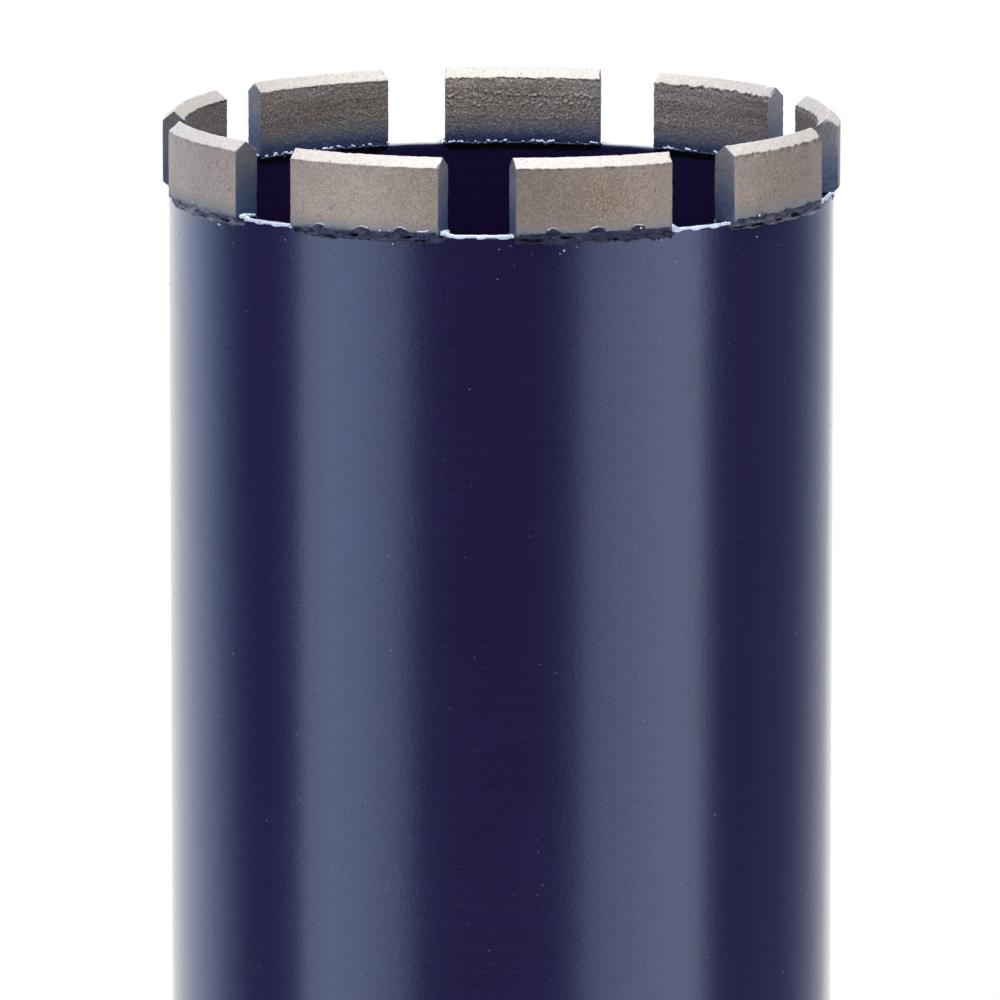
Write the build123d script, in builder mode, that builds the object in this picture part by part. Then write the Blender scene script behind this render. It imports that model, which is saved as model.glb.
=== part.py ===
from build123d import *

import os
from math import degrees, hypot

# Wet diamond core bit, 102 mm, for drilling round holes in concrete.
#
# A thin steel barrel carries nine diamond segments brazed to its open rim. A plate and a threaded
# hub close the other end, where the bit screws onto a drilling rig. The bit stands on the hub's
# seat face, crown up: the origin is the centre of that face and +Z runs along the barrel.

# Crown: nine curved segments with a roof-shaped cutting edge and parallel end faces.
CROWN_OD = 102.0
SEGMENT_COUNT = 9
SEGMENT_LENGTH = 24.0
SEGMENT_THICKNESS = 3.5
SEGMENT_BODY = 10.0
ROOF_RISE = 1.5
FIRST_SEGMENT_ANGLE = -90.0

# Barrel: seamless tube, its length measured over the end plate.
BARREL_OD = 100.0
BARREL_WALL = 2.0
BARREL_LENGTH = 450.0

# Braze that holds each segment: a foil in the joint, a proud bead outside and a fillet inside.
FOIL = 0.1
BEAD_DROP = 1.7
BEAD_PROUD = 0.45
BEAD_BULGE_DROP = 0.5
FILLET_DROP = 1.3

# Nuggets: the drops of braze that stand on the bead against the segment's foot.
NUGGET_COUNT = 3
NUGGET_PITCH = 6.5
NUGGET_WIDTH = 2.6
NUGGET_HEIGHT = 1.5
NUGGET_SIDE_ANGLE = 65.0
NUGGET_PROUD = 0.7
NUGGET_BEVEL = 0.45

# End plate: flat disc, butt-welded to the barrel's end with its seam dressed flush.
PLATE_THICKNESS = 8.0

# Hub: 1 1/4 in - 7 UNC female thread, hexagon for a 41 mm spanner.
HEX_ACROSS_FLATS = 41.0
HEX_HEIGHT = 34.0
SEAT_DIAMETER = 39.5
HEX_CORNER_ANGLE = 30.0
COLLAR_DIAMETER = 50.0
COLLAR_HEIGHT = 6.0
THREAD_CORE_DIAMETER = 28.2
THREAD_MOUTH_DIAMETER = 32.4
THREAD_DEPTH = 34.0
WATER_WAY_DIAMETER = 22.0
HUB_WELD_LEG = 4.0

# Radii and levels that follow from the sizes above.
OUTER_R = BARREL_OD / 2
INNER_R = OUTER_R - BARREL_WALL
SEGMENT_OUTER_R = CROWN_OD / 2
SEGMENT_INNER_R = SEGMENT_OUTER_R - SEGMENT_THICKNESS
CREST_R = SEGMENT_OUTER_R - SEGMENT_THICKNESS / 2
PLATE_BOTTOM = HEX_HEIGHT + COLLAR_HEIGHT
PLATE_TOP = PLATE_BOTTOM + PLATE_THICKNESS
RIM = PLATE_BOTTOM + BARREL_LENGTH
SEGMENT_BASE = RIM + FOIL
SHOULDER = SEGMENT_BASE + SEGMENT_BODY
CREST = SHOULDER + ROOF_RISE

os.makedirs("parts", exist_ok=True)

# Barrel
with BuildPart() as barrel:
    with BuildSketch(Plane.XY.offset(PLATE_TOP)):
        Circle(OUTER_R)
        Circle(INNER_R, mode=Mode.SUBTRACT)
    extrude(amount=RIM - PLATE_TOP)
barrel.part.label = "barrel"
export_step(barrel.part, "parts/barrel.step")

# End plate, with the water way drilled through its middle
with BuildPart() as end_plate:
    with BuildSketch(Plane.XY.offset(PLATE_BOTTOM)):
        Circle(OUTER_R)
        Circle(WATER_WAY_DIAMETER / 2, mode=Mode.SUBTRACT)
    extrude(amount=PLATE_THICKNESS)
end_plate.part.label = "end_plate"
export_step(end_plate.part, "parts/end_plate.step")

# Hub: a hexagon with turned corners, and a collar that seats on the plate
with BuildPart() as hub:
    with BuildSketch():
        RegularPolygon(HEX_ACROSS_FLATS / 2, side_count=6, major_radius=False, rotation=30)
    extrude(amount=HEX_HEIGHT)
    with BuildSketch():
        Circle(SEAT_DIAMETER / 2)
    extrude(amount=HEX_HEIGHT, taper=HEX_CORNER_ANGLE - 90, mode=Mode.INTERSECT)
    with BuildSketch(Plane.XY.offset(HEX_HEIGHT)):
        Circle(COLLAR_DIAMETER / 2)
    extrude(amount=COLLAR_HEIGHT)
    seat = hub.faces().sort_by(Axis.Z)[0]
    with Locations(Plane(seat)):
        CounterBoreHole(WATER_WAY_DIAMETER / 2, THREAD_CORE_DIAMETER / 2, THREAD_DEPTH)
    mouth = hub.edges().filter_by(GeomType.CIRCLE).group_by(Axis.Z)[0].sort_by(SortBy.RADIUS)[0]
    chamfer(mouth, (THREAD_MOUTH_DIAMETER - THREAD_CORE_DIAMETER) / 2)
hub.part.label = "hub"
export_step(hub.part, "parts/hub.step")

# Weld between the hub's collar and the plate
with BuildPart() as hub_weld:
    collar_r = COLLAR_DIAMETER / 2
    with BuildSketch(Plane.XZ):
        Polygon(
            (collar_r, PLATE_BOTTOM - HUB_WELD_LEG),
            (collar_r, PLATE_BOTTOM),
            (collar_r + HUB_WELD_LEG, PLATE_BOTTOM),
            align=None,
        )
    revolve(axis=Axis.Z)
hub_weld.part.label = "hub_weld"
export_step(hub_weld.part, "parts/hub_weld.step")

# Segment on +X: a turned ring section, cut to length between two parallel end faces
with BuildPart() as segment:
    with BuildSketch(Plane.XZ):
        Polygon(
            (SEGMENT_INNER_R, SEGMENT_BASE),
            (SEGMENT_OUTER_R, SEGMENT_BASE),
            (SEGMENT_OUTER_R, SHOULDER),
            (CREST_R, CREST),
            (SEGMENT_INNER_R, SHOULDER),
            align=None,
        )
    revolve(axis=Axis.Z)
    with BuildSketch(Plane.XY.offset(SEGMENT_BASE)):
        with Locations((CREST_R, 0)):
            Rectangle(SEGMENT_LENGTH, SEGMENT_LENGTH)
    extrude(amount=CREST - SEGMENT_BASE, mode=Mode.INTERSECT)

# Nuggets of that segment: bevelled drops that spring square to the barrel from inside the bead
with BuildPart() as nuggets:
    nugget_angle = degrees(NUGGET_PITCH / SEGMENT_OUTER_R)
    nugget_arc = nugget_angle * (NUGGET_COUNT - 1)
    nugget_spots = PolarLocations(OUTER_R, NUGGET_COUNT, -nugget_arc / 2, nugget_arc, endpoint=True)
    lift = Location((0, 0, RIM - BEAD_BULGE_DROP))
    with BuildSketch(*[Plane(lift * spot * Plane.YZ.location) for spot in nugget_spots]):
        Trapezoid(NUGGET_WIDTH, NUGGET_HEIGHT, NUGGET_SIDE_ANGLE, align=(Align.CENTER, Align.MIN))
    extrude(amount=SEGMENT_OUTER_R + NUGGET_PROUD - OUTER_R)
    tips = nuggets.faces().filter_by(lambda face: hypot(face.center().X, face.center().Y) > SEGMENT_OUTER_R)
    chamfer(tips.edges(), NUGGET_BEVEL)

# Braze of that segment: it clasps the joint, so the barrel and the segment are taken out of it
with BuildPart() as braze:
    with BuildSketch(Plane.XZ):
        Polygon(
            (OUTER_R, RIM - BEAD_DROP),
            (SEGMENT_OUTER_R + BEAD_PROUD, RIM - BEAD_BULGE_DROP),
            (SEGMENT_OUTER_R, SEGMENT_BASE),
            (SEGMENT_INNER_R, SEGMENT_BASE),
            (INNER_R, RIM - FILLET_DROP),
            align=None,
        )
    revolve(axis=Axis.Z)
    with BuildSketch(Plane.XY.offset(RIM - BEAD_DROP)):
        with Locations((CREST_R, 0)):
            Rectangle(SEGMENT_LENGTH, SEGMENT_LENGTH)
    extrude(amount=BEAD_DROP + FOIL, mode=Mode.INTERSECT)
    add(nuggets.part)
    add(barrel.part, mode=Mode.SUBTRACT)
    add(segment.part, mode=Mode.SUBTRACT)

# The nine stations of the crown, each with its own segment and braze
stations = PolarLocations(0, SEGMENT_COUNT, FIRST_SEGMENT_ANGLE)
for number, station in enumerate(stations, start=1):
    with BuildPart() as placed_segment:
        with Locations(station):
            add(segment.part)
    placed_segment.part.label = f"segment_{number}"
    export_step(placed_segment.part, f"parts/segment_{number}.step")

    with BuildPart() as placed_braze:
        with Locations(station):
            add(braze.part)
    placed_braze.part.label = f"braze_{number}"
    export_step(placed_braze.part, f"parts/braze_{number}.step")
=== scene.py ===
import math

import bpy
import numpy as np
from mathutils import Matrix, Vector


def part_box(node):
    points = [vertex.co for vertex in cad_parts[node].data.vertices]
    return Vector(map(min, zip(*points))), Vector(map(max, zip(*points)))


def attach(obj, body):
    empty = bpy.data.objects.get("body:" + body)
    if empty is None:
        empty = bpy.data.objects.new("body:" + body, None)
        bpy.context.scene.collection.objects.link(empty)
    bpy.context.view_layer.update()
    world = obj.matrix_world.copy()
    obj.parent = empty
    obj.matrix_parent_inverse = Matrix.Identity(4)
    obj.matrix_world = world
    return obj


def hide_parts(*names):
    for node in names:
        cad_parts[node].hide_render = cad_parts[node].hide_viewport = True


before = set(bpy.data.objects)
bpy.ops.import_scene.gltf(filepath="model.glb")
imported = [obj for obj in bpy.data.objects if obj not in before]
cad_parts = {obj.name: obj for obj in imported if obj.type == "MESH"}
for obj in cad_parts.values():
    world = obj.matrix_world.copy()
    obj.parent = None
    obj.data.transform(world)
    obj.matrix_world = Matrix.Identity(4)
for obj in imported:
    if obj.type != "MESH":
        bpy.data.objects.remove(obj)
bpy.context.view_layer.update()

# Diamond core bit, dressed: a painted steel barrel with nine sintered segments brazed to its rim,
# and a threaded hub welded under its end plate. Sizes are in millimetres until a mesh is made.

MM = 0.001

# Barrel and end plate
OUTER_R = 50.0
BARREL_WALL = 2.0
INNER_R = OUTER_R - BARREL_WALL
PLATE_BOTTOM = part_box("end_plate")[0].z / MM
PLATE_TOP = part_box("end_plate")[1].z / MM
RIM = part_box("barrel")[1].z / MM
WATER_WAY_R = 11.0
WATER_WAY_BEVEL = 0.5
BARREL_SIDES = 360
PLATE_SIDES = 240
LIP_RADIUS = 0.55
BORE_LIP_RADIUS = 0.18
LIP_WAVE = 0.05
LIP_WAVE_REACH = 2.0
RIM_BAND = 6.0
PLATE_EDGE_RADIUS = 0.6
SEAM_DEPTH = 0.12

# Nibs of dust in the barrel's paint, clear of the plate and the rim by the margins, and splashes
# of braze in a band under the rim
NIB_SIZE = 0.16
NIB_COUNT = 1900
NIB_MARGIN = (2.0, 3.0)
SPATTER_COUNT = 120
SPATTER_BAND = (5.0, 1.2)

# Segments
SEGMENT_COUNT = 9
FIRST_SEGMENT_ANGLE = -90.0
SEGMENT_LENGTH = 24.0
HALF_LENGTH = SEGMENT_LENGTH / 2
SEGMENT_OUTER_R = 51.0
SEGMENT_THICKNESS = 3.5
SEGMENT_INNER_R = SEGMENT_OUTER_R - SEGMENT_THICKNESS
CREST_R = SEGMENT_OUTER_R - SEGMENT_THICKNESS / 2
SEGMENT_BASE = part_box("segment_1")[0].z / MM
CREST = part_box("segment_1")[1].z / MM
ROOF_RISE = 1.5
ROOF_SLOPE = ROOF_RISE / (SEGMENT_THICKNESS / 2)
# Cells across, along and up a segment. The one whose bore face the camera sees best has more.
SEGMENT_DIVISIONS = (18, 118, 54)
FINE_DIVISIONS = {5: (18, 150, 70)}
EDGE_RADIUS = 0.16
SHARPEST_EDGE = 0.06
LARGEST_CHIP = 1.4
TORN_WIDTH = 0.95
FOOT_BEVEL = 0.75

# Braze outside: a bead with three nuggets. Levels are heights over the rim.
NUGGET_COUNT = 3
NUGGET_PITCH = 6.5
NUGGET_HALF_WIDTH = 1.2
NUGGET_RISE = 0.84
BEAD_OVERRUN = (0.2, 1.2)
BEAD_TOP = 1.95
BEAD_BOTTOM = -1.95
BEAD_LOW_EDGE = -1.38
BEAD_TOP_EDGE = 0.15
# Where the lower edge rises near the bead's first end: place along it, half width, height.
BEAD_NOTCH = (-10.2, 1.9, 0.20)
BEAD_BACK = 0.9
BEAD_LIMIT_R = 51.55
BROAD_FOLD = 0.15
FINE_FOLD = 0.07
NUGGET_BULGE = 0.30
CREASE_DEPTH = 0.28
CREVICE_DEPTH = 0.55
BEAD_DIVISIONS = (1, 140, 28)
FRONT_BEAD_DIVISIONS = (1, 200, 38)
# Levels, and how far a full bead and a lean one stand off the barrel there.
FULL_SLOPE = ([BEAD_BOTTOM, -1.65, -1.15, -0.5, 0.05, 0.4], [0.0, 0.05, 0.48, 1.0, 1.06, 1.0])
LEAN_SLOPE = ([BEAD_BOTTOM, -1.3, 0.0, 0.4], [0.02, 0.06, 0.14, 0.2])

# Bright braze: a row of drops over the bore, drops at each corner, and a film along the rim
RIDGE_R = 47.62
RIDGE_PITCH = 0.24
CLUMPS = 26
CLUMP_R = 47.52
CLUMP_PITCH = 0.17
# Drops at each corner: radius, place past the segment's end, height over the rim, size.
CORNER_DROPS = [
    (50.2, 0.10, 0.05, 0.36), (49.8, 0.30, 0.05, 0.44), (49.72, 0.75, 0.0, 0.40), (49.68, 1.2, -0.05, 0.34),
    (49.4, 0.12, 0.10, 0.36), (49.0, 0.12, 0.10, 0.32), (48.6, 0.15, 0.10, 0.28), (48.2, 0.20, 0.08, 0.26),
]
SMALL_CORNER = 0.72
CORNER_RISE = 0.32
FILM_DROPS = 40
FILM_R = 49.66
FILM_START = 0.3
FILM_REACH = 17.05
FILM_SIZE = 0.285
SAG_R = 49.78
SAG_SIZE = 0.22
BRAZE_VOXEL = 0.10

# Fillet inside the bore, painted black as the shadow under each segment's overhang
FILLET_DIVISIONS = (1, 110, 10)
FILLET_DROP = 1.3
FILLET_OVERRUN = 0.3
FILLET_BACK = 0.8

# What differs from segment to segment. Segment 1 most nearly faces the camera, and the others
# follow anticlockwise, seen from above. That way round, a segment's first end is side -1 and its
# last end is side 1.
FRONT = (1, 2, 8, 9)
# How full the bead is, with its nuggets.
FULLNESS = {2: 0.45, 3: 0.3, 7: 0.3, 8: 0.55}
# Beads that lie almost flat on the barrel.
LEAN_BEADS = (3, 7)
# How far the bead's top edge is raised at its two ends, and its lower edge.
BEAD_LIFT = {1: (0.40, 0.60, 0.30), 2: (0.65, 0.80, 0.35), 8: (0.20, 0.10, 0.35), 9: (0.10, 0.50, 0.28)}
# How far along its first end the bead takes to reach its full height.
BEAD_START = {8: 2.8}
# How much darker the whole bead is painted, as painted shade.
BEAD_SHADE = {1: 0.42, 9: 0.04}
# How much paler the folds are, and how strong the painted highlight along the nuggets' crests is.
HAZE = {2: 0.12, 8: 0.22}
CREST_HIGHLIGHT = {1: 0.80, 9: 0.90}
# How large the bright drops are at a segment's corner, as (segment, side).
CORNER_SCALE = {(7, 1): 0.3, (8, -1): 0.7, (3, -1): 0.7, (5, -1): 0.3, (5, 1): 0.4}
# Corners with no film beside them.
NO_FILM = ((4, 1), (5, -1), (5, 1), (6, -1), (7, 1))
# How deep a segment's shoulders are torn, bore side and outer side.
TORN = {1: (0.08, 0.08), 2: (0.10, 0.16), 3: (0.14, 0.1), 4: (0.22, 0.1), 5: (0.12, 0.1), 6: (0.06, 0.05),
        7: (0.10, 0.05), 8: (0.05, 0.05), 9: (0.08, 0.05)}
# Painted light and shade: how light each segment's outer face, bore face and sawn ends are, for how the
# lamps fall on them.
SHADE = {1: (0.69, 1.0, 0.95), 2: (1.0, 1.0, 1.0), 3: (1.0, 1.0, 1.05), 4: (1.0, 0.97, 1.0),
         5: (1.0, 1.12, 1.0), 6: (1.0, 0.86, 1.16), 7: (1.0, 0.74, 0.55), 8: (1.20, 1.0, 0.56),
         9: (0.90, 1.0, 0.84)}
# How thick the paint mist is on the bore face and the ends, and how high it reaches outside.
THIN_MIST = {4: 0.86, 7: 0.7}
MIST_REACH = {1: 2.5, 2: 3.5, 8: 3.0, 9: 2.4}
# How dark the ends are painted at their foot.
END_FOOT = {7: 0.35, 8: 0.5, 9: 0.45}
# How rusty the middle of the outer face is.
RUST = {1: 0.7, 2: 0.35}
# Pits in the outer face, where there are more than a few, and in any bore face.
OUTER_PITS = {2: 18, 8: 16}
FEW_PITS = 6
BORE_PITS = 12
# Rows of grains in a bore face, painted pale as highlights with a painted shadow under each: height over
# the segment's base, and their count.
GRAIN_ROWS = {5: ((7.5, 50), (6.0, 44), (6.8, 26))}

# Hub
HEX_ACROSS_FLATS = 41.0
HEX_HEIGHT = 34.0
HEX_CORNER_R = 0.7
FLAT_POINTS = 19
SEAT_R = 39.5 / 2
CORNER_ANGLE = math.radians(30)
COLLAR_R = 25.0
COLLAR_EDGE_RADIUS = 0.5
THREAD_CORE_R = 28.2 / 2
THREAD_MAJOR_R = 31.75 / 2
THREAD_PITCH = 25.4 / 7
THREAD_MOUTH_R = 32.4 / 2
THREAD_DEPTH = 34.0
THREAD_STEP = 0.22
THREAD_RUN_OUT = 2.5
THREAD_BLIND = 1.5
FLANK_ANGLE = math.radians(60)
HUB_WELD_LEG = 4.0
WELD_RIPPLES = 76
RIPPLE_SIDES = 6
WELD_ROWS = 17

# Colours of the finishes, as linear red, green and blue. A pair holds a darker and a lighter tone.
NAVY = ((0.0112, 0.0050, 0.0375), (0.0128, 0.0058, 0.0420))
NAVY_FLAKE = (0.018, 0.013, 0.062)
DUST = ((0.07, 0.09, 0.20), (0.24, 0.28, 0.44))
OUTER_MATRIX = ((0.368, 0.308, 0.267), (0.406, 0.345, 0.302))
RUSTY_MATRIX = (0.36, 0.25, 0.20)
GROUND_MATRIX = (0.566, 0.535, 0.508)
BORE_MATRIX = ((0.262, 0.219, 0.203), (0.375, 0.330, 0.312))
SAWN_MATRIX = ((0.215, 0.215, 0.236), (0.285, 0.286, 0.312))
GRIT = (0.75, 0.72, 0.68)
# The next three are painted shade in holes and pits, and a painted highlight on raised grains.
HOLE_SHADE = (0.07, 0.06, 0.055)
PIT_SHADE = (0.04, 0.035, 0.035)
GRAIN_HIGHLIGHT = (0.74, 0.70, 0.65)
OUTER_MIST = (0.175, 0.205, 0.232)
BORE_MIST = (0.032, 0.059, 0.140)
FOOT_PAINT = (0.010, 0.024, 0.085)
PAINTED_BRAZE = ((0.019, 0.019, 0.050), (0.060, 0.057, 0.112))
BRAZE_SPECK = (0.30, 0.33, 0.42)
# The next is painted shade in the braze's creases and crevices.
CREVICE_SHADE_BRAZE = (0.006, 0.005, 0.010)
# The next is a painted highlight on the nuggets' crests, also used to pale the folds.
PALE_FOLD_AND_HIGHLIGHT = (0.68, 0.68, 0.69)
BRIGHT_BRAZE = ((0.03, 0.06, 0.16), (0.61, 0.70, 0.87))
# Painted shadow: near black for the fillet under each segment's overhang.
OVERHANG_SHADOW_BLACK = ((0.0015, 0.0015, 0.0025), (0.010, 0.009, 0.014))
TURNED_STEEL = ((0.36, 0.355, 0.35), (0.56, 0.555, 0.55))
SANDED_STEEL = (0.66, 0.66, 0.67)

# Camera, its distance in metres
CAMERA_AZIMUTH = math.radians(-15.97)
CAMERA_ELEVATION = math.radians(9.811)
CAMERA_DISTANCE = 1.8459
CAMERA_LENS = 439.6
AIM_BELOW_RIM = 47.79
AIM_SIDE_SHIFT = -0.21

# Floor, in metres: it fades out between the two distances from the middle
FLOOR_RADIUS = 1.2
FLOOR_DROP = 0.0003
FADE_START = 0.45
FADE_END = 1.15


# ---------------------------------------------------------------- node trees

def add_node(tree, kind, settings=None, **sockets):
    """A node of that kind, its inputs set to values or linked to other nodes' outputs.

    An input is named with _ for a space, or called n0, n1 and so on by its number.
    """
    made = tree.nodes.new(kind)
    for key, value in (settings or {}).items():
        setattr(made, key, value)
    for key, value in sockets.items():
        name = key.replace("_", " ")
        if key.startswith("n") and key[1:].isdigit():
            socket = made.inputs[int(key[1:])]
        else:
            socket = made.inputs[name]
        if isinstance(value, bpy.types.NodeSocket):
            tree.links.new(value, socket)
        else:
            socket.default_value = value
    return made


def math_node(tree, operation, *values):
    """The output of a Math node on those values or outputs."""
    sockets = {f"n{i}": value for i, value in enumerate(values)}
    return add_node(tree, "ShaderNodeMath", {"operation": operation}, **sockets).outputs[0]


def vector_math(tree, operation, *values, **named):
    """A Vector Math node on those values or outputs."""
    sockets = {f"n{i}": value for i, value in enumerate(values)}
    return add_node(tree, "ShaderNodeVectorMath", {"operation": operation}, **sockets, **named)


def spans(tree, value, low, high, start=0.0, end=1.0, smooth=True):
    """Value taken from the span low..high to the span start..end, and held there outside it."""
    settings = {"interpolation_type": "SMOOTHSTEP" if smooth else "LINEAR"}
    made = add_node(tree, "ShaderNodeMapRange", settings, Value=value,
                    From_Min=low, From_Max=high, To_Min=start, To_Max=end)
    return made.outputs[0]


def blend_colours(tree, factor, first, second, blend="MIX"):
    """Two colours mixed by a factor."""
    made = add_node(tree, "ShaderNodeMix", {"data_type": "RGBA", "blend_type": blend})
    inputs = [made.inputs[0]] + [socket for socket in made.inputs if socket.type == "RGBA"]
    for socket, value in zip(inputs, (factor, first, second)):
        if isinstance(value, bpy.types.NodeSocket):
            tree.links.new(value, socket)
        elif isinstance(value, (int, float)):
            socket.default_value = value
        else:
            socket.default_value = (*value, 1.0)
    return [socket for socket in made.outputs if socket.type == "RGBA"][0]


def mottle(tree, pattern, low, high, pair):
    """The pair's darker tone where the pattern is low, and its lighter tone where it is high."""
    return blend_colours(tree, spans(tree, pattern, low, high), *pair)


def tint(tree, tone, factor):
    """The tone multiplied by a factor or by another colour."""
    return blend_colours(tree, 1.0, tone, factor, "MULTIPLY")


def grain(tree, coordinates, scale, detail=3.0, roughness=0.5, stretch=None):
    """Noise of about 1/scale metres, stretched by the three factors."""
    if stretch is not None:
        coordinates = add_node(tree, "ShaderNodeMapping", Vector=coordinates, Scale=stretch).outputs[0]
    made = add_node(tree, "ShaderNodeTexNoise", Vector=coordinates, Scale=scale,
                    Detail=detail, Roughness=roughness)
    return made.outputs[0]


def spots(tree, coordinates, scale):
    """Distance to the nearest of scattered points, about 1/scale metres apart."""
    return add_node(tree, "ShaderNodeTexVoronoi", Vector=coordinates, Scale=scale).outputs[0]


def surface_value(tree, name):
    """A value that the mesh holds at each point."""
    return add_node(tree, "ShaderNodeAttribute", {"attribute_name": name}).outputs["Fac"]


def new_material(name, **sockets):
    """A material with one Principled shader, its node tree and its Object coordinates."""
    material = bpy.data.materials.new(name)
    material.use_nodes = True
    tree = material.node_tree
    shader = tree.nodes["Principled BSDF"]
    for key, value in sockets.items():
        shader.inputs[key.replace("_", " ")].default_value = value
    coordinates = tree.nodes.new("ShaderNodeTexCoord").outputs["Object"]
    return material, tree, shader, coordinates


def add_bump(tree, shader, height, distance, before=None):
    """Relief of that depth in metres on the shader, laid over an earlier relief."""
    bump = add_node(tree, "ShaderNodeBump", Height=height, Distance=distance, Strength=1.0)
    if before is not None:
        tree.links.new(before, bump.inputs["Normal"])
    tree.links.new(bump.outputs[0], shader.inputs["Normal"])
    return bump.outputs[0]


# ---------------------------------------------------------------- materials

def barrel_paint():
    """Navy flake enamel under a glossy clear coat, over polishing lines, with dirt and orange peel."""
    material, tree, shader, place = new_material(
        "barrel_paint", Roughness=0.27, Specular_IOR_Level=0.68, Specular_Tint=(0.20, 0.45, 1.0, 1.0),
        Coat_Weight=1.0, Coat_Roughness=0.15, Coat_IOR=1.41
    )
    clouds = grain(tree, place, 45.0, 4.0)
    flakes = grain(tree, place, 5200.0, 1.0)
    lines = grain(tree, place, 1.0, 4.0, 0.6, (26.0, 26.0, 3600.0))
    tone = mottle(tree, clouds, 0.35, 0.65, NAVY)
    tone = blend_colours(tree, spans(tree, flakes, 0.55, 0.80), tone, NAVY_FLAKE)
    tone = tint(tree, tone, spans(tree, lines, 0.30, 0.70, 0.90, 1.12))
    tree.links.new(tone, shader.inputs["Base Color"])
    peel = grain(tree, place, 1500.0, 3.0, 0.6)
    swell = grain(tree, place, 190.0, 1.0)
    relief = add_bump(tree, shader, swell, 0.000014)
    relief = add_bump(tree, shader, lines, 0.0000035, relief)
    relief = add_bump(tree, shader, peel, 0.000007, relief)
    tree.links.new(relief, shader.inputs["Coat Normal"])
    relief = add_bump(tree, shader, lines, 0.000024, relief)
    add_bump(tree, shader, peel, 0.000028, relief)
    sparkle = grain(tree, place, 3300.0, 2.0, 0.6)
    tree.links.new(spans(tree, sparkle, 0.30, 0.70, 0.52, 0.84), shader.inputs["Specular IOR Level"])
    return material


def paint_dust():
    """Pale dust and nibs caught in the enamel."""
    material, tree, shader, place = new_material("paint_dust", Roughness=0.35)
    cloud = grain(tree, place, 900.0, 2.0)
    tree.links.new(mottle(tree, cloud, 0.35, 0.65, DUST), shader.inputs["Base Color"])
    add_bump(tree, shader, cloud, 0.00002)
    return material


def matrix_tone(tree, place, clouds):
    """The sintered metal's colour: outer face, ground ridge, rough bore face and sawn ends, under painted
    light and shade.
    """
    tone = mottle(tree, clouds, 0.32, 0.68, OUTER_MATRIX)
    patchy = spans(tree, clouds, 0.3, 0.7, 0.4, 1.0)
    rust = math_node(tree, "MULTIPLY", surface_value(tree, "rust"), patchy)
    tone = blend_colours(tree, rust, tone, RUSTY_MATRIX)
    tone = blend_colours(tree, surface_value(tree, "ridge"), tone, GROUND_MATRIX)
    bands = grain(tree, place, 1.0, 1.0, 0.5, (30.0, 30.0, 420.0))
    grit = spots(tree, place, 1500.0)
    layers = grain(tree, place, 1.0, 1.0, 0.5, (24.0, 24.0, 300.0))
    rough = mottle(tree, bands, 0.35, 0.65, BORE_MATRIX)
    rough = blend_colours(tree, spans(tree, grit, 0.24, 0.08, 0.0, 0.5), rough, GRIT)
    rough = tint(tree, rough, spans(tree, layers, 0.46, 0.50, 0.93, 1.05))
    tone = blend_colours(tree, surface_value(tree, "bore_side"), tone, rough)
    sawn = mottle(tree, clouds, 0.32, 0.68, SAWN_MATRIX)
    tone = blend_colours(tree, surface_value(tree, "sawn_end"), tone, sawn)
    # Painted light and shade: the shade value lightens or darkens each face and darkens the torn shoulders.
    return tint(tree, tone, surface_value(tree, "shade"))


def speckled(tree, tone, powder, crumbs, holes):
    """The tone with the powder's uneven grain, strongest in the bore, with painted shade in holes and pores
    and a painted highlight on raised grains.
    """
    rusty = math_node(tree, "MULTIPLY", surface_value(tree, "rust"), 1.6)
    coarse = math_node(tree, "MULTIPLY_ADD", surface_value(tree, "bore_side"), 1.3, rusty)
    smooth_ridge = math_node(tree, "MULTIPLY", surface_value(tree, "ridge"), 0.65)
    share = math_node(tree, "SUBTRACT", math_node(tree, "ADD", coarse, 1.0), smooth_ridge)
    speckle = math_node(tree, "SUBTRACT", spans(tree, powder, 0.28, 0.72, 0.80, 1.16), 1.0)
    tone = tint(tree, tone, math_node(tree, "MULTIPLY_ADD", speckle, share, 1.0))
    tone = tint(tree, tone, spans(tree, crumbs, 0.30, 0.70, 0.90, 1.08))
    # Painted shade darkens the holes and pits, and a painted highlight pales the raised grains.
    tone = blend_colours(tree, spans(tree, holes, 0.10, 0.05, 0.0, 0.8), tone, HOLE_SHADE)
    pores = surface_value(tree, "pores")
    tone = blend_colours(tree, spans(tree, pores, 0.0, 1.0, 0.0, 0.74, False), tone, PIT_SHADE)
    return blend_colours(tree, spans(tree, pores, 0.0, -1.0, 0.0, 0.70, False), tone, GRAIN_HIGHLIGHT)


def misted(tree, tone, mist):
    """The tone under the mist of the barrel's paint, with solid paint at the foot."""
    hidden = math_node(tree, "ADD", surface_value(tree, "bore_side"), surface_value(tree, "sawn_end"))
    paint = blend_colours(tree, math_node(tree, "MINIMUM", hidden, 1.0), OUTER_MIST, BORE_MIST)
    tone = blend_colours(tree, mist, tone, paint)
    return blend_colours(tree, surface_value(tree, "foot"), tone, FOOT_PAINT)


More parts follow.
